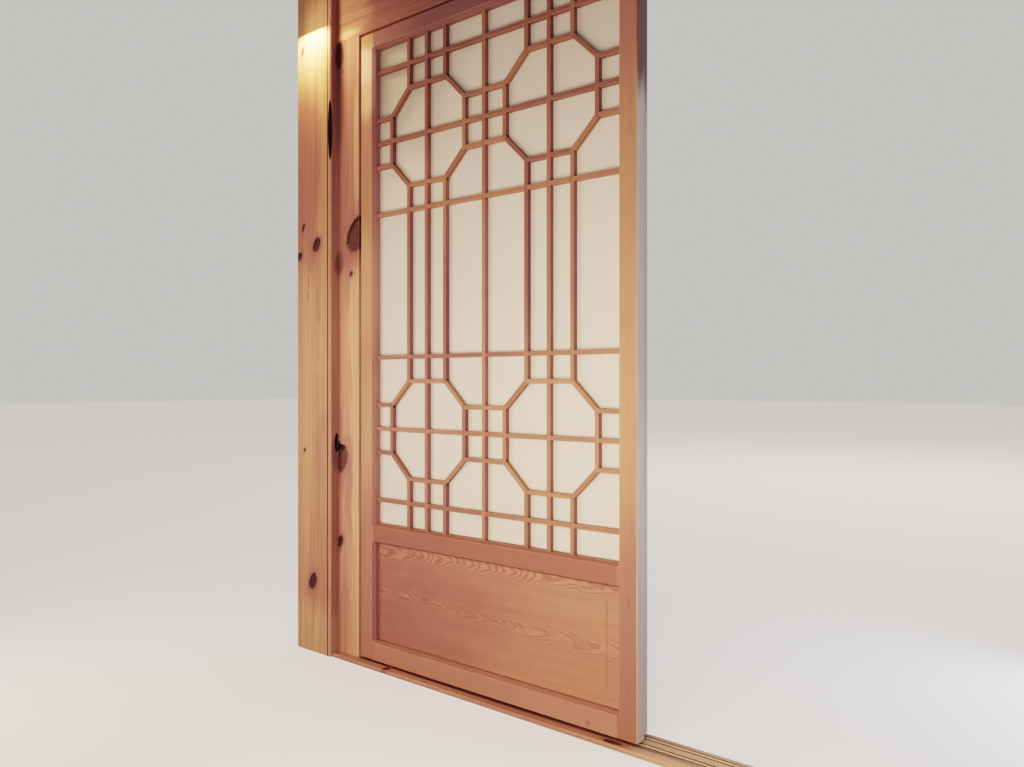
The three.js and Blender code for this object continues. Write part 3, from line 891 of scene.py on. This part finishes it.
# %% Model the leaf frames
LEAVES = ("front_leaf", "back_leaf")
LEAF_EASE = 0.8 * MM
LEAF_WORN = 1.0 * MM
LEAF_GRAIN = {
    "left_stile": ("Z", (0.10, 0.03, 0.4)),
    "right_stile": ("Z", (-0.95, 0.09, 2.6)),
    "top_rail": ("X", (0.05, -1.70, 0.9)),
    "mid_rail": ("X", (0.12, -0.42, 3.7)),
    "bottom_rail": ("X", (0.02, 0.07, 6.2)),
}
for leaf in LEAVES:
    for board, (along, shift) in LEAF_GRAIN.items():
        node = f"{leaf}_{board}"
        piece = timber_from(node, node + "_board")
        ease(piece, LEAF_EASE)
        lay_grain(piece, along, shift)
        mark_wear(piece, LEAF_WORN)
        if board == "left_stile":
            mark_right_shade(piece)
        boards[node] = piece
    print(leaf, "boards:", len(LEAF_GRAIN))

# %% [markdown]
# The frame is of clear, fine-grained pine, so its rings are closer and it has just a mark or two.
# Its woods differ: the rails are redder than the stiles. The stiles are painted darker toward head
# and foot, as painted shade, and the left stile pale near its head, as painted lamp light. The
# right edges are grey end to end, partly weathering and partly painted cool daylight, and nearly
# black at the head, as painted shade. Their zones are flat and lie just outside the face, so that
# none of it runs round the corner.

# %% Woods and marks of the leaf frames
LEAF_LATE = (0.26, 0.115, 0.08, 1)
STILE_WOOD = ((0.50, 0.285, 0.165, 1), (0.44, 0.232, 0.145, 1), LEAF_LATE)
TOP_RAIL_WOOD = ((0.25, 0.123, 0.125, 1), (0.22, 0.108, 0.115, 1), (0.15, 0.064, 0.068, 1))
MID_RAIL_WOOD = ((0.315, 0.138, 0.108, 1), (0.29, 0.123, 0.098, 1), (0.19, 0.076, 0.062, 1))
BOTTOM_RAIL_WOOD = ((0.46, 0.242, 0.175, 1), (0.41, 0.20, 0.157, 1), LEAF_LATE)
MARK = (0.24, 0.09, 0.07, 1)
WEATHERED_DAYLIT_EDGE = (0.62, 0.57, 0.50, 1)
SHADED_EDGE_HEAD = (0.100, 0.014, 0.007, 1)

LEAF_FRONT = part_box("front_leaf_left_stile")[0].y
FRONT_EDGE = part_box("front_leaf_right_stile")[1].x + 1.0 * MM
BACK_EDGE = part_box("back_leaf_right_stile")[1].x + 1.5 * MM
STILE_ZONES = on_face(LEAF_FRONT, [
    # Darker toward foot and head: painted shade. Pale near the left stile's head: painted lamp
    # light.
    ((0.205, 0.15), (0.08, 0.10, 0.42), 0.8, (0.37, 0.165, 0.13, 1)),
    ((1.068, 0.12), (0.08, 0.10, 0.45), 0.9, (0.325, 0.145, 0.115, 1)),
    ((0.204, 1.10), (0.06, 0.10, 0.18), 0.6, (0.62, 0.37, 0.20, 1)),
    ((0.204, 1.60), (0.06, 0.04, 0.19), 0.75, (0.44, 0.205, 0.165, 1)),
    ((0.204, 1.700), (0.06, 0.014, 0.12), 0.55, (0.95, 0.60, 0.37, 1)),
    ((0.204, 1.745), (0.06, 0.014, 0.06), 0.80, (0.96, 0.63, 0.45, 1)),
    ((1.060, 1.85), (0.10, 0.10, 0.45), 0.7, (0.37, 0.16, 0.15, 1)),
    ((1.0735, 0.326), (0.0022, 0.01, 0.020), 0.7, MARK),
])
STILE_ZONES += [
    # Right edges: grey, partly weathering and partly painted cool daylight; nearly black at the
    # head, painted shade.
    ((FRONT_EDGE, -0.030, 0.90), (0.0030, 0.20, 3.0), 1.0, WEATHERED_DAYLIT_EDGE),
    ((FRONT_EDGE, -0.030, 0.18), (0.0035, 0.20, 0.45), 0.7, (0.60, 0.47, 0.34, 1)),
    ((FRONT_EDGE, -0.030, 1.80), (0.0035, 0.20, 0.28), 1.0, SHADED_EDGE_HEAD),
    ((FRONT_EDGE, -0.030, 1.59), (0.0035, 0.20, 0.14), 1.0, SHADED_EDGE_HEAD),
    ((BACK_EDGE, 0.017, 0.90), (0.0030, 0.030, 3.0), 0.95, WEATHERED_DAYLIT_EDGE),
    ((BACK_EDGE, 0.017, 1.70), (0.0035, 0.060, 0.28), 1.0, SHADED_EDGE_HEAD),
]
TOP_RAIL_ZONES = [
    ((0.24, LEAF_FRONT, 1.81), (0.16, 0.04, 0.20), 0.9, (0.30, 0.145, 0.135, 1)),
]
BOTTOM_RAIL_ZONES = [
    ((0.965, LEAF_FRONT, 0.029), (0.009, 0.01, 0.007), 0.6, MARK),
    # Painted shade on the chamfer along the top of the bottom rail.
    ((0.63, -0.036, 0.070), (5.0, 0.05, 0.0065), 0.8, (0.27, 0.13, 0.10, 1)),
]
print("marks and tints on the stiles:", len(STILE_ZONES))

# %% [markdown]
# Both stiles share one finish, because its zones lie at different places. Each rail has its own.

# %% Finish the leaf frames
LEAF_RING = 2.6 * MM


def leaf_pine(name, wood, along="Z", zones=()):
    """The clear pine of the leaves."""
    return pine(name, wood, (), zones, along, (0.1, 0.35, 0.0), LEAF_RING, liveliness=0.4)


stile_pine = leaf_pine("leaf_stile_pine", STILE_WOOD, "Z", STILE_ZONES)
leaf_pines = {
    "left_stile": stile_pine,
    "right_stile": stile_pine,
    "top_rail": leaf_pine("leaf_top_rail_pine", TOP_RAIL_WOOD, "X", TOP_RAIL_ZONES),
    "mid_rail": leaf_pine("leaf_mid_rail_pine", MID_RAIL_WOOD, "X"),
    "bottom_rail": leaf_pine("leaf_bottom_rail_pine", BOTTOM_RAIL_WOOD, "X", BOTTOM_RAIL_ZONES),
}
for leaf in LEAVES:
    for board, finish in leaf_pines.items():
        node = f"{leaf}_{board}"
        dress(boards[node], leaf, "leaf_pine", finish, node)
    print(leaf, "boards finished:", len(leaf_pines))

# %% [markdown]
# ## The lattice
# The lattice is the heart of the door: sixty-five thin bars in two columns of octagons. The real
# one is lapped together bar by bar, so it is built that way here. One bar is modelled, with the
# two long arrises of its face rounded. Each bar of the lattice is then a copy with its own mesh,
# drawn out to its length and turned to its angle. A Python list gives the bars' ends, counted in
# cells of a square grid, as the joiner sets them out. The solid lattice has bars 10.5 mm wide. The
# picture's bars measure a little more, so these are 11.2 mm.
#
# Where bars cross, their faces would lie in one plane and flicker. The uprights therefore stand a
# tenth of a millimetre proud of the slanted bars, and those of the level ones, which also draws
# the fine shoulder lines of a lap joint.

# %% Model one bar
BAR_WIDTH = 11.2 * MM
BAR_DEPTH = 14 * MM
BAR_EASE = 1.1 * MM
BAR_WORN = 1.0 * MM

pattern_bar = block("pattern_bar", (-BAR_WIDTH / 2, 0, -0.5), (BAR_WIDTH / 2, BAR_DEPTH, 0.5))
pick_edges(pattern_bar, lambda a, b: a.y < MM and b.y < MM and abs(a.z - b.z) > 0.5)
bpy.ops.mesh.bevel(offset=BAR_EASE, segments=2)
bpy.ops.object.mode_set(mode="OBJECT")
mark_wear(pattern_bar, BAR_WORN)
print("pattern bar faces:", len(pattern_bar.data.polygons))

# %% Set out the bars in cells of the grid
ROWS = 20
HALF_WIDTH = 5.9
OCTAGON_COLUMNS = (-3, 3)
OCTAGON_ROWS = (4, ROWS - 4)


def set_out():
    """The bars of one lattice, as kind and two ends in cells from the middle of its foot."""
    bars = []
    low, high = OCTAGON_ROWS
    for x in (0, *OCTAGON_COLUMNS):
        bars.append(("upright", (x, 0), (x, ROWS)))
    for z in (1, 7, ROWS - 7, ROWS - 1, low, high):
        bars.append(("level", (-HALF_WIDTH, z), (HALF_WIDTH, z)))
    for x in (-4, -2, 2, 4):
        bars.append(("upright", (x, 0), (x, low - 2)))
        bars.append(("upright", (x, low + 2), (x, high - 2)))
        bars.append(("upright", (x, high + 2), (x, ROWS)))
    for z in (low - 1, low + 1, high - 1, high + 1):
        bars.append(("level", (-HALF_WIDTH, z), (-5, z)))
        bars.append(("level", (-1, z), (1, z)))
        bars.append(("level", (5, z), (HALF_WIDTH, z)))
    for x in OCTAGON_COLUMNS:
        for z in OCTAGON_ROWS:
            for turn in (-1, 1):
                bars.append(("upright", (x + 2 * turn, z - 1), (x + 2 * turn, z + 1)))
                bars.append(("level", (x - 1, z + 2 * turn), (x + 1, z + 2 * turn)))
                for rise in (-1, 1):
                    bars.append(("slant", (x + turn, z + 2 * rise), (x + 2 * turn, z + rise)))
    return bars


print("bars in a lattice:", len(set_out()))

# %% [markdown]
# A bar that ends at the frame runs a millimetre into it, as its tenon does. One that ends at
# another bar runs on to that bar's far side. The bars of a lattice come from different strips of
# wood, so each gets its own shift in the grain, from a seeded generator that always draws the
# same numbers.

# %% Build the lattices
STEP_BACK = {"upright": 0.0, "slant": 0.08 * MM, "level": 0.15 * MM}
TENON = 1.0 * MM
SOLID_GAP = 0.3 * MM
SPREAD = 3.0


def end_run(kind, x, z):
    """How far a bar runs on past this end."""
    if z in (0, ROWS) or abs(x) == HALF_WIDTH:
        return TENON
    return 0.0 if kind == "slant" else BAR_WIDTH / 2


def build_lattice(node, name, chance):
    """Copies the pattern bar to each place in the opening that the solid lattice fills."""
    low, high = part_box(node)
    cell = (high.z - low.z + 2 * SOLID_GAP) / ROWS
    foot = Vector(((low.x + high.x) / 2, low.y, low.z - SOLID_GAP))
    copies = []
    for kind, start, end in set_out():
        first = foot + Vector((start[0] * cell, 0, start[1] * cell))
        last = foot + Vector((end[0] * cell, 0, end[1] * cell))
        run = (last - first).normalized()
        first -= run * end_run(kind, *start)
        last += run * end_run(kind, *end)
        bar = copy_of(pattern_bar, name)
        bar.data.transform(Matrix.Diagonal((1, 1, (last - first).length, 1)))
        lay_grain(bar, "Z", [chance.uniform(-SPREAD, SPREAD) for _ in range(3)])
        lean = math.atan2(run.x, run.z)
        place = Matrix.Translation((first + last) / 2 + Vector((0, STEP_BACK[kind], 0)))
        bar.data.transform(place @ Matrix.Rotation(lean, 4, "Y"))
        copies.append(bar)
    pick(*copies)
    bpy.ops.object.join()
    print(name, "faces:", len(copies[0].data.polygons), "cell:", round(cell / MM, 2), "mm")
    return copies[0]


chance = random.Random(20)
lattices = {}
for leaf in LEAVES:
    lattices[leaf] = build_lattice(f"{leaf}_lattice", f"{leaf}_lattice_bars", chance)
bpy.data.objects.remove(pattern_bar)

# %% [markdown]
# The bars are browner than the frame. They are painted darker toward the upper left corner, as
# painted shade, and golden low at the right, as painted daylight.

# %% Finish the lattices
BAR_WOOD = ((0.41, 0.215, 0.137, 1), (0.275, 0.122, 0.102, 1), (0.19, 0.083, 0.07, 1))
LATTICE_ZONES = [
    ((0.33, -0.030, 1.70), (0.32, 0.30, 0.32), 0.8, (0.22, 0.095, 0.09, 1)),
    ((0.98, -0.030, 0.62), (0.34, 0.30, 0.40), 0.5, (0.46, 0.26, 0.135, 1)),
]
lattice_pine = pine("lattice_pine", BAR_WOOD, (), LATTICE_ZONES, pith=(9.0, 9.3, 0.0),
                    ring_width=LEAF_RING, liveliness=0.6)
for leaf, lattice in lattices.items():
    mark_right_shade(lattice)
    dress(lattice, leaf, "leaf_pine", lattice_pine, f"{leaf}_lattice")
print("tints on the lattices:", len(LATTICE_ZONES))

# %% [markdown]
# ## Paper
# The paper is glued to the back of the lattice. It is mulberry paper under a thin plastic film, as
# many such doors have now: ivory, smooth and a little satin, with a few long fibres in it. It is
# painted darker and yellower toward the left head, as painted shade. Light from behind passes
# through, so part of its shader is translucent. That part has one plain colour.

# %% Finish the paper
IVORY = (0.885, 0.845, 0.75, 1)
PALE_IVORY = (0.91, 0.875, 0.78, 1)
FIBRE_TAN = (0.70, 0.61, 0.49, 1)
PAPER_HEAD_SHADE = (0.60, 0.53, 0.43, 1)
SHINES_THROUGH = 0.25


def paper_finish(name):
    """Ivory paper with long fibres, partly translucent."""
    material, shader, place = new_finish(name)
    cloud = place.noise((9.0, 9.0, 9.0), 3.0)
    grit = place.noise((420.0, 420.0, 420.0), 2.0)
    long_fibres = place.noise((70.0, 70.0, 520.0), 3.0)
    cross_fibres = place.noise((520.0, 70.0, 70.0), 3.0)
    hairs = long_fibres.rise(0.60, 0.68) + cross_fibres.rise(0.60, 0.68)
    colour = cloud.rise(0.3, 0.7).blend(IVORY, PALE_IVORY)
    colour = (hairs * 0.12).blend(colour, FIBRE_TAN)
    x, _, z = place.parts()
    # Painted shade: darker and yellower toward the left head.
    head_shade = z.rise(1.3, 1.75) * (1 - x.rise(0.2, 0.7) * 0.8)
    colour = head_shade.blend(colour, PAPER_HEAD_SHADE)
    colour = colour.vector("MULTIPLY", 0.97 + grit * 0.06)
    bump = (grit + hairs).bump(0.15, 0.2 * MM)
    feed(shader, {"Base Color": colour, "Roughness": 0.5, "Normal": bump})
    tree = material.node_tree
    reflected = Wire(tree, shader.outputs[0])
    glow = reflected.node("ShaderNodeBsdfTranslucent", {}, {"Color": IVORY})
    sheet = reflected.node("ShaderNodeMixShader", {}, {0: SHINES_THROUGH, 1: reflected, 2: glow})
    feed(tree.nodes["Material Output"], {"Surface": sheet})
    return material


paper = paper_finish("ivory_paper")
for leaf in LEAVES:
    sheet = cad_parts[f"{leaf}_paper"]
    paint(sheet, paper)
    low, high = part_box(sheet.name)
    print(sheet.name, "size:", round(high.x - low.x, 3), "x", round(high.z - low.z, 3), "m")

# %% [markdown]
# ## Panels
# The low panel is the one board of the door chosen for its figure. It is cut flat from the trunk,
# so its rings run almost level with its face. Where one of them just touches it, along the top and
# again near the middle, it draws a row of pointed arches that lie on their sides. Each such band is
# worked out as a ridge, and its lines of equal height are the arches, packed close in the middle of
# the board and drawn out toward its ends. Elsewhere the lines run calm and straight.

# %% The figured bands
# For each band: middle height, slope, half height, spread and packing
TOP_BAND = (0.323, 0.033, 0.018, 1.0, 30)
LOW_BAND = (0.221, -0.022, 0.013, 0.5, 6)


def rippled_band(place, middle, slope, half_height, spread, packing):
    """Where a ring just touches the face: how much of the band shows, and its lines."""
    x, _, z = place.parts()
    sway = (place.noise((6.0, 0.0, 0.0), 2.0) - 0.5) * 0.024
    off = (z + sway - x * slope - middle) / (half_height + x.rise(0.6, 0.95) * 0.010)
    ridge = off * off
    packed = x.maths("MINIMUM", x.maths("MAXIMUM", x, 0.36), 0.82)
    shake = (place.noise((18.0, 0.0, 34.0), 3.0) - 0.5) * 3.2
    turn = ridge * (0.8 + x.rise(0.75, 0.9)) + packed * packing + x * 7 + shake
    lines = turn.maths("SINE", turn * math.tau) * 0.5 + 0.5
    patchy = place.noise((22.0, 0.0, 70.0), 2.0).rise(0.60 - spread * 0.35, 0.74 - spread * 0.25)
    return (1 - ridge.rise(0.3, 2.2)) * (0.25 + patchy * 0.75), lines


# %% [markdown]
# Near its right edge the panel has a thin dark seam, where a narrow strip is glued on. The seam is
# painted, because its groove is too shallow to see.

# %% Finish the panels
PANEL_LEFT = (0.325, 0.139, 0.123, 1)
PANEL_RIGHT = (0.445, 0.222, 0.148, 1)
PANEL_LATE = (0.21, 0.085, 0.07, 1)
PANEL_PALE = (0.56, 0.30, 0.20, 1)
PANEL_STOPS = [(0.0, 0.0), (0.4, 0.15), (0.8, 0.9), (0.92, 1.0), (1.0, 0.0)]
PANEL_RING = 5.8 * MM
SEAM_DARK = (0.13, 0.045, 0.03, 1)
SEAM_FROM_EDGE = 39 * MM
SEAM_FOOT = 106 * MM
SEAM_HEAD = 322 * MM
SEAM_FADE = 6 * MM


def panel_finish(name, seam_x):
    """Figured veneer with two bands of arches and a seam."""
    material, shader, place = new_finish(name)
    x, _, z = place.parts()
    calm = (place.noise((1.5, 0.0, 9.0), 2.0) - 0.5) * 0.03
    uneven = (place.noise((0.5, 0.0, 42.0), 1.0) - 0.5) * 0.012
    rings = ((z + calm + uneven) / PANEL_RING).repeat(PANEL_STOPS)
    fibres = place.noise((22.0, 0.0, 1400.0), 2.0)
    streaks = place.noise((2.6, 0.0, 60.0), 3.0).rise(0.3, 0.7)
    drift = (place.noise((2.4, 0.0, 7.0), 2.0) - 0.5) * 0.7
    colour = (x + drift).rise(0.25, 1.0).blend(PANEL_LEFT, PANEL_RIGHT)
    blotches = place.noise((11.0, 0.0, 26.0), 3.0).rise(0.35, 0.65)
    colour = (blotches * 0.11).blend(colour, PANEL_PALE)
    colour = (streaks * 0.2).blend(colour, PANEL_LATE)
    colour = (rings * 0.08).blend(colour, PANEL_LATE)
    for band in (TOP_BAND, LOW_BAND):
        shown, lines = rippled_band(place, *band)
        colour = (shown * (0.05 + lines * 0.30)).blend(colour, PANEL_PALE)
        colour = (shown * (1 - lines) * (1 - lines) * 0.58).blend(colour, PANEL_LATE)
    seam = 1 - abs(x - seam_x).rise(0.4 * MM, 1.1 * MM)
    seam = seam * z.rise(SEAM_FOOT, SEAM_FOOT + SEAM_FADE)
    seam = seam * (1 - z.rise(SEAM_HEAD - SEAM_FADE, SEAM_HEAD))
    colour = (seam * 0.75).blend(colour, SEAM_DARK)
    colour = colour.vector("MULTIPLY", 0.94 + fibres * 0.12)
    relief = fibres * 0.4 + rings * 0.3 - seam
    feed(shader, {
        "Base Color": colour,
        "Roughness": 0.36 + rings * 0.1,
        "Normal": relief.bump(0.25, 0.3 * MM),
        **VARNISH,
    })
    return material


for leaf in LEAVES:
    low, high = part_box(f"{leaf}_panel")
    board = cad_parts[f"{leaf}_panel"]
    paint(board, panel_finish(f"{leaf}_panel_wood", high.x - SEAM_FROM_EDGE))
    print(board.name, "bands at", TOP_BAND[0], "and", LOW_BAND[0], "m")

# %% [markdown]
# ## Rollers
# Each leaf rolls on two small nylon wheels in mortises in its foot. The wheel is turned from a
# cylinder: its faces are inset and pushed in to leave a rim, the rim's edges are rounded, and an
# axle goes through. One wheel is modelled, at the origin, and copied to the four places.

# %% Model the wheel
WHEEL_WIDTH = 6 * MM
WEB_INSET = 3.0 * MM
WEB_DEPTH = 1.2 * MM
RIM_EASE = 0.5 * MM
AXLE_RADIUS = 2.5 * MM


def turned(name, sides, radius, width):
    """A cylinder lying along the depth of the bay."""
    bpy.ops.mesh.primitive_cylinder_add(
        vertices=sides, radius=radius, depth=width, rotation=(math.radians(90), 0, 0))
    piece = bpy.context.object
    piece.name = name
    settle(piece)
    return piece


def wheel_between(low, high):
    """A webbed wheel as high as this box, with an axle as deep as it."""
    wheel = turned("pattern_wheel", 48, (high.z - low.z) / 2, WHEEL_WIDTH)
    for side in (-1, 1):
        pick(wheel)
        bpy.ops.object.mode_set(mode="EDIT")
        bpy.ops.mesh.select_mode(type="FACE")
        bpy.ops.mesh.select_all(action="DESELECT")
        bpy.ops.object.mode_set(mode="OBJECT")
        for face in wheel.data.polygons:
            face.select = face.normal.y * side > 0.9
        bpy.ops.object.mode_set(mode="EDIT")
        bpy.ops.mesh.inset(thickness=WEB_INSET, depth=0)
        bpy.ops.transform.translate(value=(0, -side * WEB_DEPTH, 0))
    ease(wheel, RIM_EASE)
    axle = turned("pattern_axle", 24, AXLE_RADIUS, high.y - low.y)
    ease(axle, RIM_EASE)
    pick(wheel, axle)
    bpy.ops.object.join()
    bpy.ops.object.shade_smooth_by_angle(angle=SHARP_ANGLE)
    return wheel


pattern_wheel = wheel_between(*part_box("front_leaf_left_roller"))
print("wheel faces:", len(pattern_wheel.data.polygons))

# %% Finish the wheels and set them in place
NYLON = (0.72, 0.70, 0.64, 1)
DUSTY_NYLON = (0.50, 0.45, 0.38, 1)


def nylon_finish(name):
    """Off-white nylon, duller where dust sticks to it."""
    material, shader, place = new_finish(name)
    specks = place.noise((900.0, 900.0, 900.0), 2.0)
    dust = place.noise((120.0, 120.0, 120.0), 2.0).rise(0.45, 0.7)
    feed(shader, {
        "Base Color": dust.blend(NYLON, DUSTY_NYLON),
        "Roughness": 0.32 + dust * 0.3,
        "Normal": specks.bump(0.1, 0.2 * MM),
    })
    return material


nylon = nylon_finish("worn_nylon")
for leaf in LEAVES:
    for side in ("left", "right"):
        node = f"{leaf}_{side}_roller"
        low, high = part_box(node)
        wheel = copy_of(pattern_wheel, node + "_wheel")
        wheel.data.transform(Matrix.Translation((low + high) / 2))
        dress(wheel, leaf, "roller_nylon", nylon, node)
        print(wheel.name, "at x", round((low.x + high.x) / 2, 3))
bpy.data.objects.remove(pattern_wheel)

# %% [markdown]
# ## Floor, lights and tone
# The bay stands on a plain pale floor. Two large soft lights stand before it, low down, as daylight
# comes in over a floor. That is why faces turned to the viewer are bright at hip height and darker
# above and below. Cooler light comes through the doorway from behind and edges the leaf's right
# side. A small warm light hangs by the column's head, out of sight. It makes no glare, because the
# picture shows none on the boards beside it.

# %% Lay the floor
PALE_AIR = (0.93, 0.90, 0.86, 1)
AIR_BRIGHTNESS = 0.62
FLOOR_SHARE = 0.93

bpy.ops.object.select_all(action="DESELECT")
bpy.ops.mesh.primitive_plane_add(size=60, location=(1.0, 0, 0))
floor = bpy.context.object
floor.name = "pale_floor"
floor_finish, floor_shader, _ = new_finish("pale_floor_paint")
feed(floor_shader, {
    "Base Color": (0.55, 0.52, 0.49, 1),
    "Emission Color": PALE_AIR,
    "Emission Strength": AIR_BRIGHTNESS * FLOOR_SHARE,
    "Roughness": 0.7,
})
floor.data.materials.append(floor_finish)
floor.visible_diffuse = False
floor.visible_glossy = False
floor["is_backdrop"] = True
print("floor:", floor.dimensions.x, "m wide")

# %% Hang the lights
PEACH = (1.0, 0.72, 0.58)
APRICOT = (1.0, 0.78, 0.59)
GOLD = (1.0, 0.78, 0.31)
AMBER = (1.0, 0.76, 0.48)
CREAM = (1.0, 0.95, 0.90)
COOL = (0.78, 0.86, 1.0)
# For each light: name, place, target, size, watts, colour, and whether it shows as glare
LIGHTS = [
    ("left_light", (-0.45, -1.25, 0.70), (-0.1, 0.0, 0.70), (0.9, 0.9), 14.4, PEACH, True),
    ("right_light", (1.15, -1.05, 0.62), (1.0, 0.0, 0.62), (0.8, 0.9), 15.2, APRICOT, True),
    ("doorway_light", (2.05, 0.95, 0.40), (1.1, 0.0, 0.40), (0.6, 0.6), 8.8, COOL, True),
    ("doorway_high_light", (2.05, 0.95, 1.25), (1.1, 0.0, 1.25), (0.6, 0.6), 2.5, COOL, True),
    ("warm_light", (0.0, -0.132, 1.89), (0.0, -0.132, 0.0), (0.10, 0.08), 3.4, GOLD, False),
    ("warm_side", (0.01, -0.22, 1.90), (0.21, -0.05, 1.76), (0.08, 0.08), 0.4, AMBER, False),
    ("back_light", (0.8, 5.5, 3.6), (0.8, 5.1, 0.0), (6.0, 4.0), 160, CREAM, True),
]
for name, place, target, size, watts, colour, glare in LIGHTS:
    bpy.ops.object.light_add(type="AREA", location=place)
    light = bpy.context.object
    light.name = name
    light.rotation_euler = (Vector(target) - Vector(place)).to_track_quat("-Z", "Y").to_euler()
    light.data.shape = "RECTANGLE"
    light.data.size, light.data.size_y = size
    light.data.energy = watts
    light.data.color = colour
    light.visible_camera = False
    light.visible_glossy = glare
print("lights:", len(LIGHTS))

# %% [markdown]
# The air around the bay is as pale as the floor to the camera, but lights the bay only faintly, so
# that the lights above shape it. A Light Path node tells the two apart.

# %% Fill the air
AIR_TINT = (1.0, 0.86, 0.88, 1)
AIR_LIGHT = 0.22

world = bpy.data.worlds.new("pale_air")
bpy.context.scene.world = world
world.use_nodes = True
ray = world.node_tree.nodes.new("ShaderNodeLightPath")
seen = Wire(world.node_tree, ray.outputs["Is Camera Ray"])
feed(world.node_tree.nodes["Background"], {
    "Color": seen.blend(AIR_TINT, PALE_AIR),
    "Strength": seen * (AIR_BRIGHTNESS - AIR_LIGHT) + AIR_LIGHT,
})
print("air:", AIR_BRIGHTNESS, "to the camera,", AIR_LIGHT, "to the bay")

# %% [markdown]
# A camera's film doesn't answer light in a straight line: shadows close up, and bright colours
# pale instead of clipping. The Filmic view with a high-contrast look does the same here.

# %% Choose the tone
view = bpy.context.scene.view_settings
view.view_transform = "Filmic"
view.look = "High Contrast"
view.exposure = 0.0
print("view:", view.view_transform, view.look)

# %% Print how far the bay has grown
shown_low, shown_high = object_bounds()
growth = (shown_high - shown_low) - (cad_high - cad_low)
print("grown by", [round(side / MM, 2) for side in growth], "mm")
